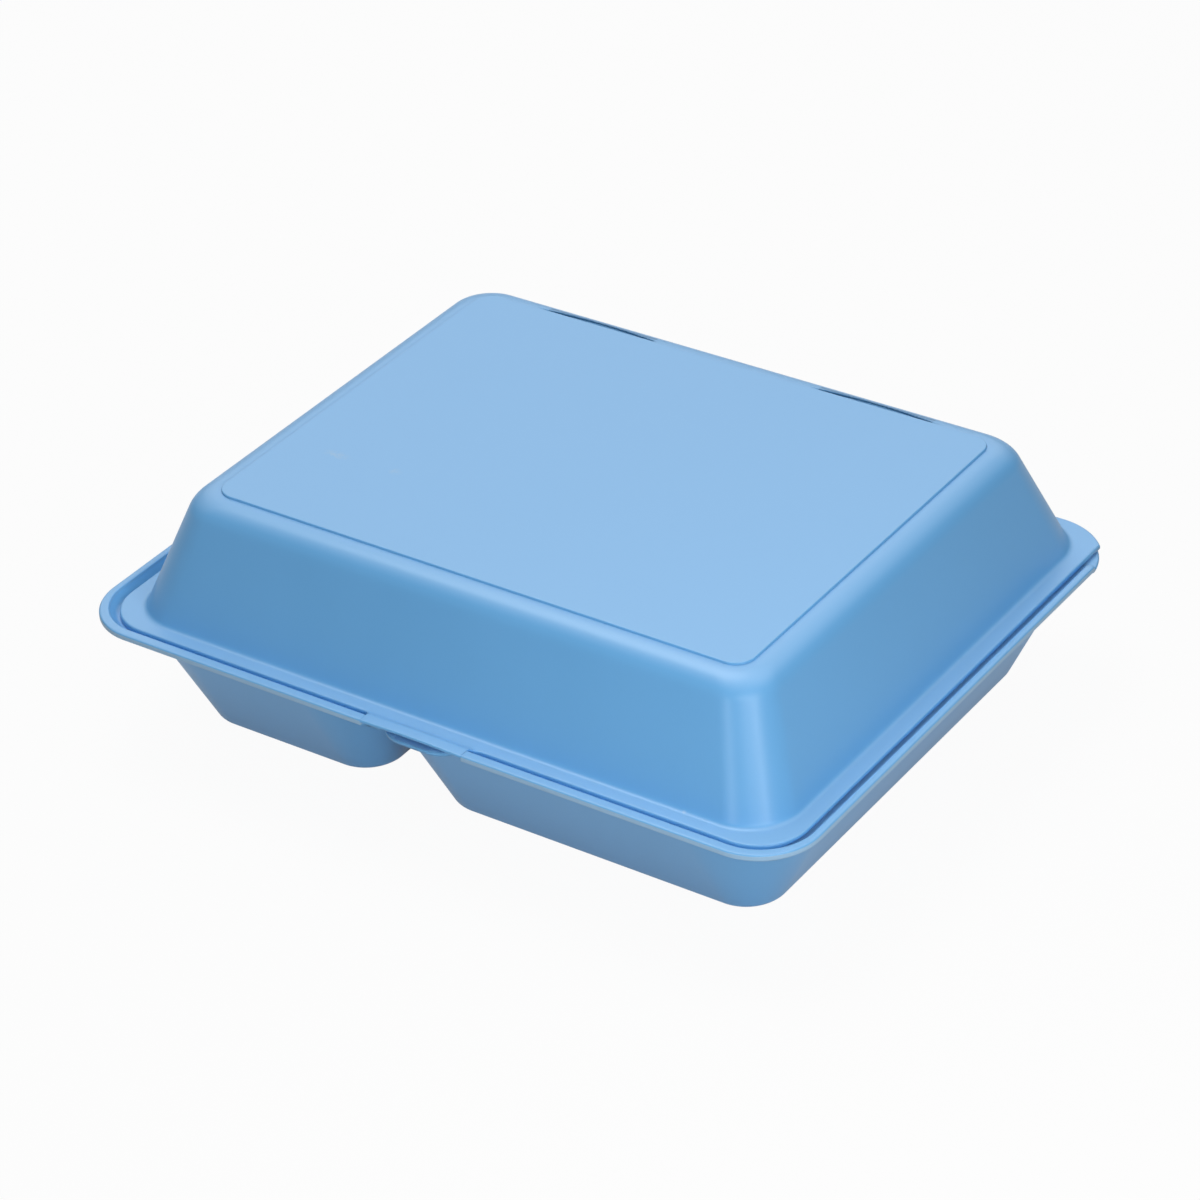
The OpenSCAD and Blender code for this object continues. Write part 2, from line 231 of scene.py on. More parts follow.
def satinPlastic(name, smudges=(), lift=0.0, shades=(), band=None):
    # Blue plastic with a cloudy colour, painted paler on top as a sheen. Lift is the share of the paler bent
    # colour, shades are boxes darkened as painted shade, band is a stretch of height painted greyer as a
    # reflection, and smudges are faint wiped marks.
    look = plasticLook
    s = Shader(name)
    cloud = s.noise(9.0, 3.0, 0.55)
    streak = s.noise(26.0, 2.0, 0.5, (1.0, 0.25, 0.6))
    colour = s.mix(s.remap(0.6 * cloud + 0.4 * streak, 0.35, 0.65), look["deep"], look["base"])
    rough = look["roughness"] + look["roughnessSwing"] * (cloud - 0.5) * 2.0
    up = s.part(s.node("ShaderNodeTexCoord", out="Normal"), 2)  # 1 where the face looks up, -1 down
    # painted sheen: faces that look up are mixed towards a paler colour, as if lit from above
    colour = s.mix(s.remap(up, 0.65, 0.99) * (0.85 + 0.3 * cloud), colour, look["paintedTopSheen"])
    if lift:
        colour = s.mix(lift, colour, look["flexed"])
    if band:
        low, high = band
        height = s.part(s.place(), 2)
        # painted reflection: sideways faces in this stretch of height, the rim's outer face, are mixed
        # greyer
        paintedReflection = s.remap(height, low - 0.0002, low + 0.0001) * s.remap(height, high + 0.0002, high - 0.0001)
        sideways = s.remap(up, 0.6, 0.3) * s.remap(up, -0.9, -0.5)
        colour = s.mix(paintedReflection * sideways * look["paintedReflectionShare"], colour, look["paintedReflection"])
    # painted shade: the colour is darkened inside each box
    for centre, size in shades:
        off = s.node("ShaderNodeVectorMath", {"operation": "ABSOLUTE"}, {0: s.within(centre, size)})
        x, y, z = (s.part(off, i) for i in range(3))
        inBox = s.remap(x, 1.0, 0.98) * s.remap(y, 1.0, 0.96) * s.remap(z, 1.0, 0.72)
        inBox = inBox * s.remap(up, -0.9, -0.4)  # not on undersides
        colour = s.mix(inBox * look["shadeShare"], colour, look["shade"])
    for centre, size, strength, tint in smudges:
        broken = s.remap(s.noise(420.0, 4.0, 0.7), 0.36, 0.60)
        mark = s.spot(centre, size) * broken * strength
        colour = s.mix(mark, colour, tint)
        rough = rough + mark * 0.25
    fine = s.noise(1400.0, 2.0, 0.6)
    wave = s.noise(55.0, 2.0, 0.5)
    bump = s.node("ShaderNodeBump", {}, {
        "Strength": look["bump"], "Distance": look["grain"], "Height": fine + 3.0 * wave})
    skin = s.node("ShaderNodeBsdfPrincipled", {}, {
        "Base Color": colour, "Roughness": rough, "Normal": bump,
        "Specular IOR Level": look["specular"], "IOR": look["ior"]})
    return s.finish(skin)


lidMarks = [
    ((-0.0745, -0.0325, 0.0807), (0.0062, 0.0026, 0.003), 0.26, (0.50, 0.57, 0.66, 1)),  # wiped smear
    ((-0.0530, -0.0315, 0.0807), (0.0030, 0.0024, 0.003), 0.20, (0.50, 0.57, 0.66, 1)),
    ((0.0876, -0.0907, 0.0422), (0.0011, 0.0007, 0.002), 0.30, (0.60, 0.72, 0.84, 1)),  # fleck on the flange
]
pocketShades = [  # painted shade in the two pockets: middle and half sizes of each box
    ((s * 0.0508 + 0.0008, 0.0758, 0.0760), (0.0206, 0.0021, 0.0042)) for s in (-1, 1)
]
basePlastic = satinPlastic("basePlastic", band=(0.0414, 0.0430))
lidPlastic = satinPlastic("lidPlastic", lidMarks, shades=pocketShades)
pocketPlastic = satinPlastic("pocketPlastic")
hingePlastic = satinPlastic("hingePlastic", lift=0.25)
print("materials made")


# base tray

box = {"width": 254.0, "depth": 202.0, "height": 80.7, "wall": 2.0, "hingeOut": 1.0}
halfW = box["width"] / 2
frontY = -(box["depth"] + box["hingeOut"]) / 2
backY = frontY + box["depth"]

rim = {
    "lip": 43.4, "shelf": 40.2, "under": 38.2, "edge": 2.0, "round": 0.7,
    "lipSide": 2.2, "lipFront": 3.1, "slopeSide": 4.9, "slopeFront": 5.6,
    "frontR": 20.0, "backR": 22.5, "lipEnd": 20.1, "endFade": 1.8, "plateSide": 1.4,
}
latch = {
    "openHalf": 18.06, "notchIn": 4.6,
    "tongueHalf": 14.0, "tongueIn": 0.8, "tongueR": 9.0, "tongueUnder": 39.0,
}
pans = {
    "side": 5.7, "front": 6.1, "back": 5.2, "sideLean": 25.6, "frontLean": 27.3, "backLean": 20.6,
    "frontR": 34.0, "backR": 28.5, "innerR": 28.5, "taper": 1.05, "floorR": 2.0, "land": 37.4,
    "divider": -23.3, "channel": 30.0, "innerLean": 20.8, "crestR": 1.2, "lap": 1.0, "edgeR": 0.9,
}
counts = {"inner": 64, "front": 64, "corner": 34, "side": 26, "back": 26, "wall": 30}


def floorIn(z, z0):  # how far a wall moves in where it rounds into the floor: r - sqrt(r^2 - (z0 + r - z)^2)
    r = pans["floorR"]
    return r - math.sqrt(max(0.0, r * r - (z0 + r - z) ** 2)) if z < z0 + r else 0.0


def leanIn(z, inset, lean, skin, z0):  # inset of a leaning wall at height z, with its skin thickness
    return inset + skin / cosDeg(lean) + tanDeg(lean) * (rim["shelf"] - z) + floorIn(z, z0)


def innerIn(z, skin, z0):  # distance of the divider's wall from the divider's middle plane
    lean = pans["innerLean"]
    return skin / cosDeg(lean) + tanDeg(lean) * (pans["channel"] - z) + floorIn(z, z0)


def panRing(side, z, skin, z0, inner=None, grow=0.0):
    # Plan of one compartment wall at a height. u runs outwards from the divider plane. Each corner is a
    # quarter circle, cut where it crosses the divider plane, and the pieces keep fixed point counts.
    p = pans
    out = leanIn(z, p["side"], p["sideLean"], skin, z0) - grow
    front = leanIn(z, p["front"], p["frontLean"], skin, z0) - grow
    back = leanIn(z, p["back"], p["backLean"], skin, z0) - grow
    near = innerIn(z, skin, z0)
    fr = p["frontR"] - skin - p["taper"] * (front - p["front"] - skin / cosDeg(p["frontLean"]))
    br = p["backR"] - skin - p["taper"] * (back - p["back"] - skin / cosDeg(p["backLean"]))
    ir = p["innerR"] - skin - p["taper"] * (near - innerIn(rim["shelf"], skin, z0))
    near = near if inner is None else inner
    near = near - grow if near < 0 else near
    far = halfW - out - side * p["divider"]
    y0, y1 = frontY + front, backY - back
    cut = 180.0 if near >= 0 else math.degrees(math.acos(-(near + ir) / ir))
    even = np.linspace
    pieces = [
        arc(near + ir, y0 + ir, ir, 360 - cut, 270, counts["inner"]),
        line(near + ir, y0, far - fr, y0, even(0, 1, counts["front"] + 2)[1:-1]),
        arc(far - fr, y0 + fr, fr, 270, 360, counts["corner"]),
        line(far, y0 + fr, far, y1 - br, even(0, 1, counts["side"] + 2)[1:-1]),
        arc(far - br, y1 - br, br, 0, 90, counts["corner"]),
        line(far - br, y1, near + ir, y1, even(0, 1, counts["back"] + 2)[1:-1]),
        arc(near + ir, y1 - ir, ir, 90, cut, counts["inner"]),
    ]
    u = np.concatenate(pieces)
    wall = line(near, y1 - ir, near, y0 + ir, even(0, 1, counts["wall"]))
    for q in (u, wall):
        q[:, 0] = p["divider"] + side * q[:, 0]
    return u, wall


spread = {  # distances from the divider plane that set the columns of the rim
    "split": 26.0,  # where the stretches of front and back begin
    "parting": 24.0, "nearEnd": 23.9, "farStart": 24.2, "farEnd": 130.0,  # right half, round the latch
    "stretchFrom": 60.0, "stretchOver": 70.0, "meet": 130.6,  # where the columns stretch to the corner
}


def rimColumns(side):
    # distances from the divider plane of the rim's front points, packed closer at the latch's corners
    if side < 0:
        return np.linspace(0, spread["split"], counts["inner"]), None
    marks = latchMarks()
    near, far = marks[marks < spread["parting"]], marks[marks >= spread["parting"]]
    first = np.linspace(0.3, spread["nearEnd"], counts["inner"] - len(near) - 1)
    second = np.linspace(spread["farStart"], spread["farEnd"], counts["front"] - len(far))
    first = np.unique(np.concatenate([[0.0], near, first]))
    second = np.unique(np.concatenate([far, second]))
    return first[:counts["inner"]], second


def latchMarks():
    # sharp places of the latch along x: lip ends, tongue sides and the tongue's rounded corners
    a, t, r = latch["openHalf"], latch["tongueHalf"], latch["tongueR"]
    bend = t - r + r * np.sin(np.radians([15, 30, 45, 60, 70, 78, 84, 88, 90]))
    half = np.concatenate([[a + 0.35, a + 0.12, a + 0.02, a - 0.02, t + 0.03], bend, [t - r]])
    x = np.concatenate([-half, half])
    return np.sort(x - pans["divider"])


def latchEdge(x):
    # front edge of the plate in the latch opening: notches, and a tongue with quarter-circle corners
    a, t, r = latch["openHalf"], latch["tongueHalf"], latch["tongueR"]
    ax = np.abs(x)
    bend = np.clip(ax - (t - r), 0, r)  # how far into the rounded corner
    tongue = frontY + latch["tongueIn"] + r - np.sqrt(np.clip(r * r - bend ** 2, 0, None))
    y = np.where(ax <= t, tongue, frontY + latch["notchIn"])
    return np.where(ax < a, y, -1e9)


def rimRing(side, insetSide, insetFront, flatSide, flatFront, z, flatZ, low):
    # Plan of the rim at one point of its section. The section fades from the raised lip to the flat plate
    # towards the hinge, and is cut back to the latch edge at the middle of the front.
    p = rim
    # the plate's edge lies further in than the lip's, fading out where both end under the rim
    plateShare = float(np.clip((4.4 - flatSide) / 1.6, 0, 1))
    first, second = rimColumns(side)
    even = np.linspace

    def ring(s, f, plate):
        far = halfW - side * pans["divider"] - s - plate
        y0, y1 = frontY + f, backY - s
        fr, br = p["frontR"] - s, p["backR"] - s - plate
        front = line(first[-1], y0, far - fr, y0, even(0, 1, counts["front"] + 2)[1:-1])
        if second is not None:
            scale = np.clip((second - spread["stretchFrom"]) / spread["stretchOver"], 0, 1)
            front[:, 0] = second + scale * (far - fr - spread["meet"])
        return np.concatenate([
            np.column_stack([first, np.full(len(first), y0)]),
            front,
            arc(far - fr, y0 + fr, fr, 270, 360, counts["corner"]),
            line(far, y0 + fr, far, y1 - br, sideShares),
            arc(far - br, y1 - br, br, 0, 90, counts["corner"]),
            line(far - br, y1, spread["split"], y1, even(0, 1, counts["back"] + 2)[1:-1]),
            line(spread["split"], y1, 0.0, y1, even(0, 1, counts["inner"])),
        ])

    raised, flat = ring(insetSide, insetFront, 0.0), ring(flatSide, flatFront, p["plateSide"] * plateShare)
    k = fade((backY - p["lipEnd"] + 0.5 - raised[:, 1]) / p["endFade"])[:, None]
    u = flat + (raised - flat) * k
    height = flatZ + (z - flatZ) * k[:, 0]
    x = pans["divider"] + side * u[:, 0]
    y = u[:, 1]
    edge = latchEdge(x)
    inLatch = (np.abs(x) < latch["openHalf"]) & (y < 0)
    cut = inLatch & (y < edge)
    y = np.where(cut, edge, y)
    tongue = inLatch & (np.abs(x) <= latch["tongueHalf"])
    height = np.where(inLatch, np.minimum(height, p["shelf"]), height)
    if low:
        height = np.where(inLatch, p["under"], height)
        height = np.where(tongue & (y < frontY + latch["notchIn"] + 0.8), latch["tongueUnder"], height)
    return np.column_stack([x, y, height])


# shares along the rim's sides: closer where the lip fades out towards the hinge
sideShares = np.concatenate([np.linspace(0.04, 0.84, 8), np.linspace(0.86, 0.99, counts["side"] - 8)])


def rimSection():
    # Points of the section from the shelf inside, over the lip and under the plate, each as raised (side
    # inset, front inset, height), flat (side inset, front inset, height) and whether it is on the underside.
    # Where both insets are the same, only one is given.
    p = rim
    r, top, shelf, under = p["round"], p["lip"], p["shelf"], p["under"]
    low = top - p["edge"]
    ls, lf, ss, sf = p["lipSide"], p["lipFront"], p["slopeSide"], p["slopeFront"]
    soft = 0.45  # radius of the lip's inner top edge, from the slope's end to the flat top
    slope, turn = 0.86, 0.14  # shares of the straight slope and of the rounding in the lip's inner face
    rows = []

    def add(raised, flat, below=False):
        rows.append(((raised[0], raised[-2], raised[-1]), (flat[0], flat[-2], flat[-1]), below))

    add((ss + 0.5, sf + 0.5, shelf), (ss + 0.5, sf + 0.5, shelf))
    for t in (0.0, 0.4, 0.8, 1.0):  # inner slope of the lip
        side, front = ss + (ls - ss) * t * slope, sf + (lf - sf) * t * slope
        add((side, front, shelf + (top - soft - shelf) * t), (3.6 - 1.2 * t, shelf))
    for a in (15, 35, 55, 75, 90):  # inner rounding of the lip
        c, s = cosSin(a)
        side, front = ls - soft + (soft + (ss - ls) * turn) * c, lf - soft + (soft + (sf - lf) * turn) * c
        add((side, front, top - soft + soft * s), (2.3 - a * 0.012, shelf))
    add((r + 0.25, top), (0.85, shelf))
    q = 0.6
    for a in (90, 67.5, 45, 22.5, 0):  # outer rounding of the lip
        c, s = cosSin(a)
        add((r - r * c, top - r + r * s), (q - q * c, shelf - q + q * s))
    add((0.0, low + 0.55), (0.0, under + 1.35))
    q, w = 0.4, 1.3
    for a in (0, 20, 40, 60, 75, 90):  # lower rounding of the edge, larger on the plate
        c, s = cosSin(a)
        add((q - q * c, low + q - q * s), (w - w * c, under + w - w * s), a >= 60)
    add((1.6, low), (1.6, under), True)
    for t in (0.15, 0.4, 0.7, 1.0):  # under the rim, in to the compartments
        side, front = 1.9 + 1.4 * t, 2.2 + 1.8 * t
        add((side, front, low - 0.2 - 2.7 * t), (side, front, under), True)
    add((4.4, 5.0, under), (4.4, 5.0, under), True)
    return rows


def makeBase():
    points, faces, start = [], [], 0
    t, fr = box["wall"], pans["floorR"]
    crest = pans["channel"] + (t - pans["crestR"]) / sinDeg(pans["innerLean"])
    crestTop = crest + pans["crestR"]
    turn = [1 - cosDeg(a) for a in np.linspace(0, 90, 9)]
    q = pans["edgeR"]
    for side in (-1, 1):
        rows = []

        def add(z, skin, z0, inner=None, grow=0.0, height=None):
            u, wall = panRing(side, z, skin, z0, inner, grow)
            rows.append(atHeight(u, z if height is None else height))
            return atHeight(wall, z)

        # inside, from the floor up to the shelf
        insideWall = []
        for z in [t + fr * v for v in turn] + list(np.linspace(t + fr, crest, 10)[1:]):
            insideWall.append(add(z, t, t))
        for a in (22.5, 45, 67.5, 90):  # rounded crest of the divider
            c, s = cosSin(a)
            inner = pans["crestR"] / cosDeg(pans["innerLean"]) * c
            insideWall.append(add(crest + pans["crestR"] * s, t, t, inner))
        add(crestTop, t, t, -pans["lap"] * 0.5)
        add(crestTop + 0.05, t, t, -pans["lap"])
        for z in (crestTop + 0.6, pans["land"] - 0.8, pans["land"]):
            add(z, t, t, -pans["lap"])
        for a in (0, 20, 45, 70, 90):  # rounded edge between hollow and shelf
            c, s = cosSin(a)
            add(pans["land"], t, t, -pans["lap"], q * (1 - c), rim["shelf"] - q + q * s)
        # over the rim
        for raised, flat, low in rimSection():
            rows.append(rimRing(side, raised[0], raised[1], flat[0], flat[1], raised[2], flat[2], low))
        # outside, from the plate down to the floor
        add(rim["under"], 0, 0, height=rim["under"])
        add(rim["under"] - 0.3, 0, 0)
        for z in np.linspace(rim["under"] - 1.0, pans["channel"], 6):
            add(z, 0, 0)
        outsideWall = [atHeight(panRing(side, pans["channel"], 0, 0)[1], pans["channel"])]
        for z in list(np.linspace(pans["channel"], fr, 10)[1:]) + [fr * v for v in turn[::-1]][1:]:
            outsideWall.append(add(z, 0, 0))
        grid = np.array(rows)
        flip = side < 0
        faces += gridFaces(grid.shape[0], grid.shape[1], False, start, flip).tolist()
        first = list(range(start, start + grid.shape[1]))
        last = [i + grid.shape[1] * (grid.shape[0] - 1) for i in first]
        points.append(grid.reshape(-1, 3))
        start += grid.shape[0] * grid.shape[1]
        for wall in (insideWall, outsideWall):
            w = np.array(wall)
            faces += gridFaces(w.shape[0], w.shape[1], False, start, flip).tolist()
            row = list(range(start, start + w.shape[1]))
            lastRow = [i + w.shape[1] * (w.shape[0] - 1) for i in row]
            if wall is insideWall:
                ring = first + row[1:-1]
                faces.append(ring if side < 0 else ring[::-1])
            else:
                ring = last + lastRow[1:-1]
                faces.append(ring[::-1] if side < 0 else ring)
            points.append(w.reshape(-1, 3))
            start += w.shape[0] * w.shape[1]
    return orient(buildMesh("baseShell", np.concatenate(points), faces, basePlastic))


def orient(obj):
    # turns every face round if the volume inside comes out negative
    check = bmesh.new()
    check.from_mesh(obj.data)
    volume = check.calc_volume(signed=True)
    openEdges = sum(1 for e in check.edges if len(e.link_faces) != 2)
    if volume < 0:
        bmesh.ops.reverse_faces(check, faces=check.faces)
        check.to_mesh(obj.data)
    check.free()
    print(obj.name, "volume", round(volume * 1e9), "mm3, open edges", openEdges)
    return obj


# lid

lidShape = {
    "flangeSide": 5.3, "flangeFront": 6.0, "flangeT": 2.0, "flangeR": 15.9, "edgeR": 0.7, "slot": 0.9,
    "tabR": 0.45, "lowR": 0.25, "panelEdgeR": 0.35,
    "sideW": 5.9, "frontW": 5.2, "backW": 4.2, "wall": 1.8, "endLean": 22.0, "sideLean": 20.4,
    "cornerR": 16.6, "cornerTaper": 0.27, "shoulderR": 9.0, "footR": 1.8,
    "panelW": 188.7, "panelD": 142.7, "step": 0.8, "panelR": 6.5,
}
pocketShape = {"length": 40.3, "centre": 50.8, "shift": 0.8, "width": 3.0, "depth": 5.0, "skin": 1.2}
tabShape = {"half": 18.0, "rise": 1.2, "arch": 0.4, "edgeT": 0.9, "inner": 3.2, "reach": 27.0}

flangeX = halfW - lidShape["flangeSide"]
flangeY = frontY + lidShape["flangeFront"]
flangeTop = rim["shelf"] + lidShape["flangeT"]
footX = flangeX - lidShape["sideW"]
footFront = flangeY + lidShape["frontW"]
footBack = backY - lidShape["backW"]
lidMid = (footFront + footBack) / 2
shoulderTop = box["height"] - lidShape["step"]

# columns along the lid's corners and straight sides
lidCounts = {"corner": 36, "side": 16, "front": 14, "hollow": 12, "tabSide": 5}
pocketColumns = np.unique(np.concatenate([
    s * pocketShape["centre"] + pocketShape["shift"] + np.concatenate([
        np.linspace(-0.5, 0.5, 35) * pocketShape["length"],
        [-0.5 * pocketShape["length"] - 0.15, 0.5 * pocketShape["length"] + 0.15]]) for s in (-1, 1)]
    + [np.linspace(-28, 28, 7)]))


def tabPath():
    # Plan of the flange's front edge round the tab: straight, a hollow quarter circle, straight out along
    # the tab's end and along its front, then mirrored. Returns the path, matching places further in, and the
    # direction in which each point moves when the path is drawn further in: not sideways at the tab's ends.
    h, q = tabShape["half"], tabShape["inner"]
    bends, ends = lidCounts["hollow"], lidCounts["tabSide"]
    hollow = arc(-h - q, flangeY - q, q, 90, 0, bends)
    side = line(-h, flangeY - q, -h, frontY, np.linspace(0, 1, ends + 1)[1:])
    front = line(-h, frontY, 0, frontY, np.array([0.01, 0.03, 0.06, 0.12, 0.25, 0.42, 0.6, 0.8]))
    flat = line(-tabShape["reach"], flangeY, -h - q, flangeY, np.linspace(0, 1, 5)[:-1])
    left = np.concatenate([flat, hollow, side, front])
    a = np.radians(np.linspace(90, 0, bends))
    c, v = np.cos(a), np.sin(a)
    moves = np.concatenate([
        np.tile([0.0, 1.0], (len(flat), 1)),
        np.column_stack([c * v, v * v]),
        np.column_stack([np.zeros(ends), np.linspace(0.1, 1, ends)]),
        np.tile([0.0, 1.0], (len(front), 1)),
    ])
    inner = np.linspace(-h - q, -h + 0.4, bends + ends + 2)[:-1]
    inner = np.concatenate([flat[:, 0], inner, front[1:, 0] + 0.2])
    inner[-7:] = np.maximum(inner[-7:], np.linspace(-h + 0.9, inner[-1], 7))
    return (np.concatenate([left, left[::-1] * [-1, 1]]), np.concatenate([inner, -inner[::-1]]),
            np.concatenate([moves, moves[::-1] * [-1, 1]]))


tabOut, tabIn, tabMoves = tabPath()


def lidOutline(x, y0, y1, r, tab=None, backR=None, cx=None, cy=None, start=0.0):
    # closed plan of the lid with fixed point counts: corners are circles, the front straight carries the
    # tab's columns and the back straight carries the pockets' columns
    bx = cx if cx is not None else x - r
    by = cy if cy is not None else y1 - r
    br = backR if backR is not None else r
    c = lidCounts
    low = by + br * sinDeg(start)  # where the straight side meets the back corner
    share, sideShare = (np.linspace(0, 1, c[k] + 2)[1:-1] for k in ("front", "side"))
    reach = tabShape["reach"]
    middle = np.column_stack([tabIn, np.full(len(tabIn), y0)]) if tab is None else tab
    back = pocketColumns[::-1]
    return np.concatenate([
        arc(-x + r, y0 + r, r, 180, 270, c["corner"]),
        line(-x + r, y0, -reach, y0, share),
        middle,
        line(reach, y0, x - r, y0, share),
        arc(x - r, y0 + r, r, 270, 360, c["corner"]),
        line(x, y0 + r, x, low, sideShare),
        arc(bx, by, br, start, 90, c["corner"]),
        line(bx, y1, back[0], y1, [0.35, 0.7]),
        np.column_stack([back, np.full(len(back), y1)]),
        line(back[-1], y1, -bx, y1, [0.3, 0.65]),
        arc(-bx, by, br, 90, 180 - start, c["corner"]),
        line(-x, low, -x, y0 + r, sideShare),
    ])


def leanOutline(side, end):
    r = lidShape["cornerR"] - lidShape["cornerTaper"] * end
    return lidOutline(footX - side, footFront + end, footBack - end, r)


def shoulderPoint(lean, turn, skin):
    # point of the rounded shoulder: circle centre minus r cos a inwards, plus r sin a upwards
    r = lidShape["shoulderR"]
    ch = shoulderTop - r
    cin = tanDeg(lean) * (ch - flangeTop) + r / cosDeg(lean)
    a = math.radians(lean + (90 - lean) * turn)
    return cin - (r - skin) * math.cos(a), ch + (r - skin) * math.sin(a)


def shoulderRing(turn, skin):
    s, e = shoulderPoint(lidShape["sideLean"], turn, skin), shoulderPoint(lidShape["endLean"], turn, skin)
    return atHeight(leanOutline(s[0], e[0]), e[1])


def footPoint(lean, turn):
    # point of the hollow between wall and flange: a circle of the foot radius touching both
    r = lidShape["footR"]
    a = math.radians(180 + lean + (90 - lean) * turn)
    return -r * (1 / cosDeg(lean) - tanDeg(lean) + math.cos(a)), flangeTop + r * (1 + math.sin(a))


def footRing(turn):
    s, e = footPoint(lidShape["sideLean"], turn), footPoint(lidShape["endLean"], turn)
    return atHeight(leanOutline(s[0], e[0]), e[1])


def wallRing(share, skin):
    # straight part of the lid's wall, between the foot's and the shoulder's tangent points
    pick = []
    for lean in (lidShape["sideLean"], lidShape["endLean"]):
        low, high = footPoint(lean, 0.0), shoulderPoint(lean, 0.0, skin)
        if skin:
            low = (skin / cosDeg(lean) - tanDeg(lean) * lidShape["flangeT"], rim["shelf"])
        pick.append([l + (h - l) * share for l, h in zip(low, high)])
    return atHeight(leanOutline(pick[0][0], pick[1][0]), pick[1][1])


def panelRing(inset, z):
    r = max(lidShape["panelR"] - inset, 0.4)
    x = lidShape["panelW"] / 2 - inset
    y = lidShape["panelD"] / 2 - inset
    return atHeight(lidOutline(x, lidMid - y, lidMid + y, r), z)


def flangeOutline(inset):
    x = flangeX - inset
    r = rim["backR"] - inset
    cx, cy = halfW - rim["backR"], backY - rim["backR"]
    start = math.degrees(math.acos((x - cx) / r))
    tab = tabOut + inset * tabMoves
    return lidOutline(x, flangeY + inset, backY - inset, lidShape["flangeR"] - inset, tab, r, cx, cy, start)


def tabRise(x):  # the tab's rise over the flange, arched by the cosine of its width
    return tabShape["rise"] + tabShape["arch"] * np.cos(np.clip(x / tabShape["half"], -1, 1) * math.pi / 2)


def tabTop(p):
    # height of the flange's top: rises to the tab's top in front of the flange's edge, by the cubic fade
    return flangeTop + tabRise(p[:, 0]) * fade((flangeY + 0.3 - p[:, 1]) / 2.6)


def tabUnder(p, edge):
    # height of the flange's underside: rises under the tab, and by a thin slot towards the edge at the sides
    slot = lidShape["slot"] * (1.0 - 0.5 * fade((p[:, 1] + 60) / 140))  # half as high towards the back
    side = slot * fade((np.abs(p[:, 0]) - flangeX + 5.4) / 4.0) * fade((p[:, 1] - flangeY) / 12)
    up = (lidShape["flangeT"] + tabRise(p[:, 0]) - tabShape["edgeT"]) * fade((flangeY + 0.6 - edge) / 2.6)
    return rim["shelf"] + up + side


def pocketDrop(points):
    # depth of the two pockets behind the panel: between a straight near edge and a bowed far edge whose
    # width falls with the square of the distance from the middle, and deepest at the near edge
    p = pocketShape
    x, y = points[:, 0], points[:, 1]
    drop = np.zeros(len(points))
    near = lidMid + lidShape["panelD"] / 2
    for s in (-1, 1):
        dx = x - s * p["centre"] - p["shift"]
        width = p["width"] * (1 - 0.5 * (2 * dx / p["length"]) ** 2)
        width = np.where(np.abs(dx) < p["length"] / 2 + 0.01, width, 0)
        share = (y - near) / np.maximum(width, 1e-6)
        inside = (width > 0.02) & (share > 0.0) & (share < 1)
        drop += np.where(inside, p["depth"] * np.sqrt(np.clip(1 - share ** 2, 0, 1)), 0)
    return drop


def makeLid():
    rows = []
    rows += [panelRing(i, box["height"]) for i in (12.0, 1.2, 0.55)]
    r = lidShape["panelEdgeR"]
    for a in (90, 60, 30, 0):  # rounded edge of the raised panel
        c, s = cosSin(a)
        rows.append(panelRing(r - r * c, box["height"] - r + r * s))
    rows.append(panelRing(0.0, shoulderTop + 0.12))
    first = panelRing(-0.05, shoulderTop)
    rows.append(first)
    shoulder = shoulderRing(1.0, 0)
    for share in np.linspace(0.04, 0.96, 7):  # flat strip round the panel, where the pockets are sunk
        rows.append(first + (shoulder - first) * share)
    # the shoulder's rings lie closer at the pockets
    turns = np.concatenate([np.linspace(1, 0.72, 32)[:-1], np.linspace(0.72, 0, 12)])
    rows += [shoulderRing(v, 0) for v in turns]
    for k in range(8, len(rows)):
        rows[k] = rows[k] - np.column_stack([np.zeros((len(rows[k]), 2)), pocketDrop(rows[k])])
    rows += [wallRing(v, 0) for v in (0.96, 0.75, 0.5, 0.25, 0.04)]
    rows += [footRing(v) for v in np.linspace(0, 1, 8)]
    foot = rows[-1]
    r, tabR, lowR = lidShape["edgeR"], lidShape["tabR"], lidShape["lowR"]
    outer = flangeOutline(r)
    for share in list(np.linspace(0.06, 0.9, 10)) + [0.96]:
        p = foot[:, :2] + (outer - foot[:, :2]) * share
        rows.append(atHeight(p, tabTop(p)))
    front = np.abs(flangeOutline(0)[:, 1] - frontY) < lidShape["flangeFront"] - 0.2
    small = np.where(front, tabR, r)  # rounding of the edge, smaller on the tab
    for a in (90, 67.5, 45, 22.5, 0):
        c, s = cosSin(a)
        full, tight = flangeOutline(r - r * c), flangeOutline(tabR - tabR * c)
        p = np.where(front[:, None], tight, full)
        rows.append(atHeight(p, tabTop(p) - small + small * s))
    edgeRow = flangeOutline(0)
    for a in (0, 45, 90):
        c, s = cosSin(a)
        p = flangeOutline(lowR - lowR * c)
        rows.append(atHeight(p, tabUnder(p, edgeRow[:, 1]) + lowR - lowR * s))
    inside = wallRing(0.0, lidShape["wall"])
    outer = flangeOutline(lowR)
    for share in np.linspace(0.08, 0.95, 12):
        p = outer + (inside[:, :2] - outer) * share
        rows.append(atHeight(p, tabUnder(p, p[:, 1])))
    rows += [wallRing(v, lidShape["wall"]) for v in (0.0, 0.02, 0.35, 0.7, 0.98)]
    rows += [shoulderRing(v, lidShape["wall"]) for v in np.linspace(1, 0, 15)[::-1]]
    grid = np.array(rows)
    return orient(buildMesh("lidShell", grid.reshape(-1, 3), closedTube(grid), lidPlastic))


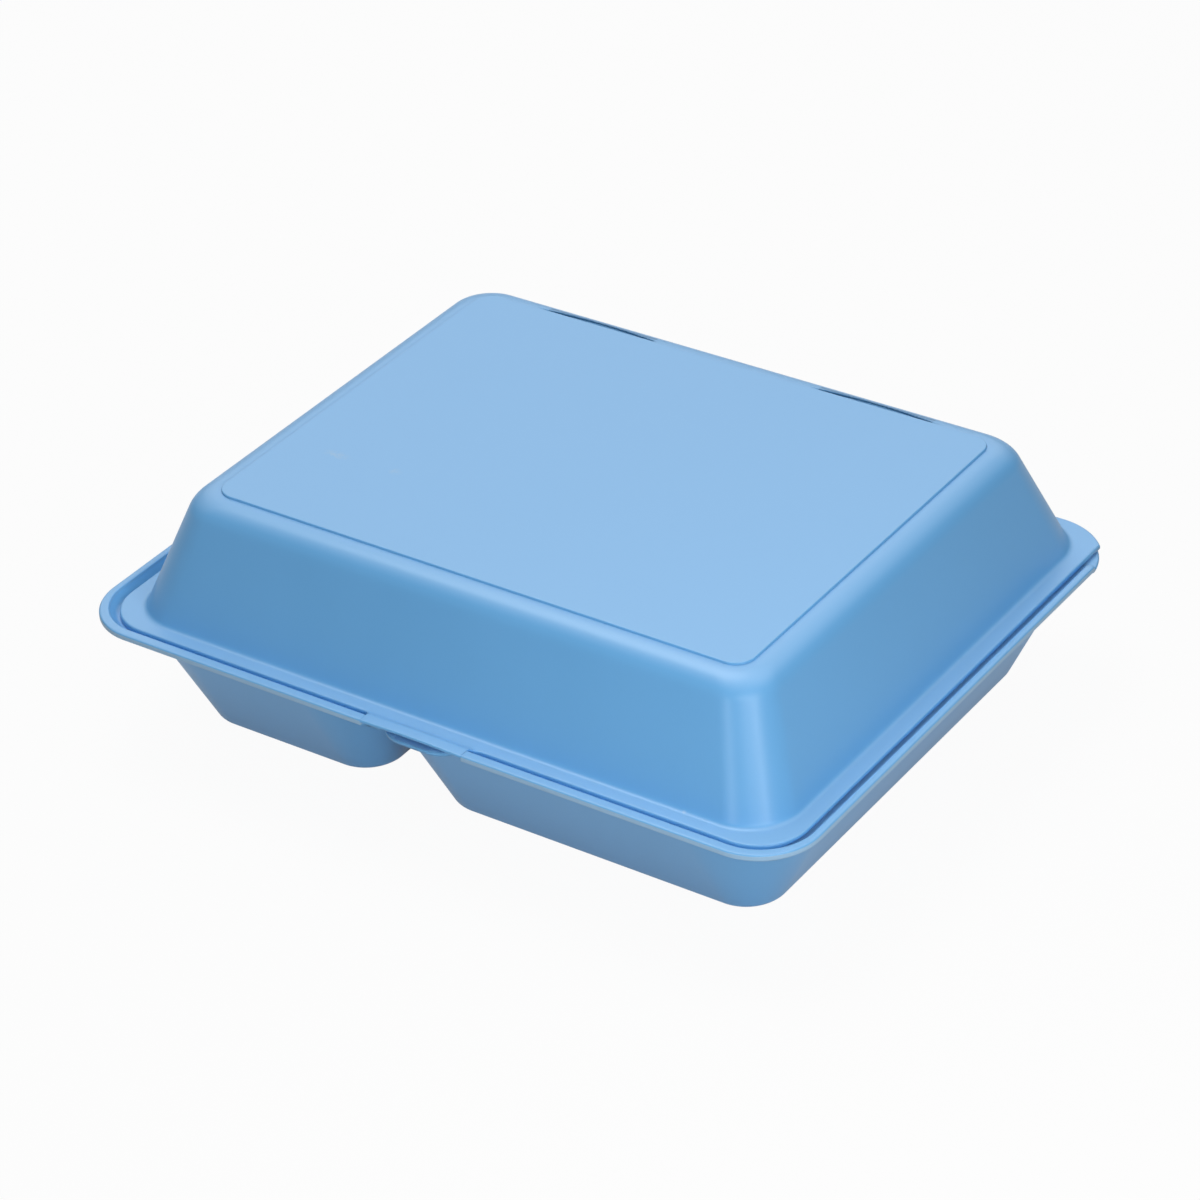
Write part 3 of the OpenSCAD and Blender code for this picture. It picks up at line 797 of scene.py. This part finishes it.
def makePocketBacks():
    # the pockets' walls under the lid: the same bowed outline, a skin thickness larger, as a closed lens
    p = pocketShape
    made = []
    length, width = p["length"] + 4 * p["skin"], p["width"] + 2 * p["skin"]
    bow = (length ** 2 / 4 + width ** 2) / (2 * width)
    x = np.linspace(-length / 2, length / 2, 41)
    y = np.sqrt(np.clip(bow * bow - x * x, 0, None)) - bow + width
    near = lidMid + lidShape["panelD"] / 2 - p["skin"]
    low = shoulderTop - p["depth"] - p["skin"]
    for s in (-1, 1):
        loop = np.concatenate([
            np.column_stack([x, near + y])[::-1], np.column_stack([x[1:-1], np.full(len(x) - 2, near)])])
        loop[:, 0] += s * p["centre"] + p["shift"]
        centre = np.array([s * p["centre"] + p["shift"], near + width * 0.4])
        rows = [atHeight(centre + (loop - centre) * k, low + h) for k, h in
                ((0.86, 0.0), (0.95, 0.06), (1.0, 0.3), (1.0, p["depth"] - 0.2), (0.97, p["depth"] + 0.3))]
        grid = np.array(rows)
        name = "pocketBack" + ("Left" if s < 0 else "Right")
        made.append(orient(buildMesh(name, grid.reshape(-1, 3), closedTube(grid), pocketPlastic)))
    return made


# bending strip

hingeShape = {"length": 190.0, "thick": 0.4, "out": 1.0, "height": 40.35}


def makeHinge():
    # half a ring in section, carried along x; both ends of the section and both ends of the strip are closed
    h = hingeShape
    a = np.radians(np.linspace(-90, 90, 17))
    outer = np.column_stack([backY + h["out"] * np.cos(a), h["height"] + h["out"] * np.sin(a)])
    inR = h["out"] - h["thick"]
    inner = np.column_stack([backY + inR * np.cos(a[::-1]), h["height"] + inR * np.sin(a[::-1])])
    section = np.concatenate([outer, inner])
    xs = np.linspace(-h["length"] / 2, h["length"] / 2, 39)
    grid = np.empty((len(xs), len(section), 3))
    grid[:, :, 0] = xs[:, None]
    grid[:, :, 1:] = section[None]
    return orient(buildMesh("hingeStrip", grid.reshape(-1, 3), closedTube(grid), hingePlastic))


baseShell = makeBase()
lidShell = makeLid()
pocketBacks = makePocketBacks()
hingeStrip = makeHinge()
print("pieces built")

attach(baseShell, "base")
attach(lidShell, "top")
for backing in pocketBacks:
    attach(backing, "top")
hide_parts("base_tray")
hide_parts("lid")
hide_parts("living_hinge")
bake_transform(hingeStrip)
print("pieces ride on their bodies")


# camera, floor and light

shot = {
    "azimuth": 35.12, "elevation": 32.56, "roll": -2.67, "distance": 1290.0,
    "aim": (0.0, 3.0, 41.35), "focal": 4204.0, "frame": 1200.0, "shift": (9.74, -24.48),
}


def makeCamera():
    # back vector from azimuth and elevation, right and up vectors turned by the roll, and a lens from the
    # focal length in pixels
    c = shot
    a, e, r = (math.radians(c[k]) for k in ("azimuth", "elevation", "roll"))
    back = Vector((math.sin(a) * math.cos(e), -math.cos(a) * math.cos(e), math.sin(e)))
    right = Vector((math.cos(a), math.sin(a), 0.0))
    up = back.cross(right)
    rolledRight = math.cos(r) * right + math.sin(r) * up
    rolledUp = -math.sin(r) * right + math.cos(r) * up
    data = bpy.data.cameras.new("camera")
    data.sensor_width = 36.0
    data.lens = c["focal"] / c["frame"] * data.sensor_width
    data.shift_x = -c["shift"][0] / c["frame"]
    data.shift_y = c["shift"][1] / c["frame"]
    data.clip_start, data.clip_end = 0.05, 30.0
    cam = bpy.data.objects.new("camera", data)
    place = (Vector(c["aim"]) + back * c["distance"]) * mm
    turn = Matrix((rolledRight, rolledUp, back)).transposed().to_4x4()
    cam.matrix_world = Matrix.Translation(place) @ turn
    scene.collection.objects.link(cam)
    scene.camera = cam


def makeFloor():
    # a plain pale floor; seen by the camera or in gloss it is lifted to white, and keeps a faint shadow
    mesh = bpy.data.meshes.new("floor")
    size = 6.0
    corners = [(-size, -size, 0), (size, -size, 0), (size, size, 0), (-size, size, 0)]
    mesh.from_pydata(corners, [], [(0, 1, 2, 3)])
    s = Shader("floorPaper")
    camera, glossy = (s.node("ShaderNodeLightPath", out=k) for k in ("Is Camera Ray", "Is Glossy Ray"))
    seen = 0.95 * camera + 0.4 * glossy
    plain = s.node("ShaderNodeBsdfDiffuse", {}, {"Color": (0.55, 0.55, 0.55, 1)})
    white = s.node("ShaderNodeEmission", {}, {"Color": (1, 1, 1, 1), "Strength": 1.0})
    both = s.node("ShaderNodeMixShader", {}, {0: seen, 1: plain, 2: white})
    mesh.materials.append(s.finish(both))
    floor = bpy.data.objects.new("floor", mesh)
    scene.collection.objects.link(floor)


studio = {
    "sky": 0.20,
    "lamps": [  # name, azimuth, elevation, distance, width, height, radiance
        ("overhead", 250, 72, 1.2, 0.7, 0.7, 4.45),
        ("corner", 52, 28, 0.54, 0.33, 0.24, 4.05),
        ("backdrop", 215, 30, 2.0, 2.2, 1.1, 1.15),
        ("backRight", 125, 64, 0.9, 0.4, 0.4, 1.1),
        ("stripFront", 5, 12, 1.0, 0.15, 0.36, 6.5),
        ("stripRight", 60, 12, 1.0, 0.15, 0.36, 6.5),
    ],
}


def makeWorld():
    # dim light from all round, and plain white where the camera looks past the floor
    world = bpy.data.worlds.new("studio")
    world.use_nodes = True
    tree = world.node_tree
    tree.nodes.clear()
    out = tree.nodes.new("ShaderNodeOutputWorld")
    path = tree.nodes.new("ShaderNodeLightPath")
    dim, white, mix = (tree.nodes.new(k) for k in (
        "ShaderNodeBackground", "ShaderNodeBackground", "ShaderNodeMixShader"))
    dim.inputs["Strength"].default_value = studio["sky"]
    dim.inputs["Color"].default_value = (1, 1, 1, 1)
    white.inputs["Color"].default_value = (1, 1, 1, 1)
    white.inputs["Strength"].default_value = 1.0
    tree.links.new(path.outputs["Is Camera Ray"], mix.inputs[0])
    tree.links.new(dim.outputs[0], mix.inputs[1])
    tree.links.new(white.outputs[0], mix.inputs[2])
    tree.links.new(mix.outputs[0], out.inputs["Surface"])
    scene.world = world


def makeLamps():
    # soft boxes placed by azimuth and elevation round the box, facing its middle
    for name, azimuth, elevation, distance, width, height, radiance in studio["lamps"]:
        a, e = math.radians(azimuth), math.radians(elevation)
        away = Vector((math.sin(a) * math.cos(e), -math.cos(a) * math.cos(e), math.sin(e)))
        data = bpy.data.lights.new(name, "AREA")
        data.shape, data.size, data.size_y = "RECTANGLE", width, height
        data.energy = radiance * math.pi * width * height
        lamp = bpy.data.objects.new(name, data)
        lamp.matrix_world = Matrix.Translation(away * distance + Vector((0, 0, 0.04))) @ away.to_track_quat(
            "Z", "Y").to_matrix().to_4x4()
        scene.collection.objects.link(lamp)


makeCamera()
makeFloor()
makeWorld()
makeLamps()
scene.view_settings.view_transform = "Standard"
print("camera, floor and light set")
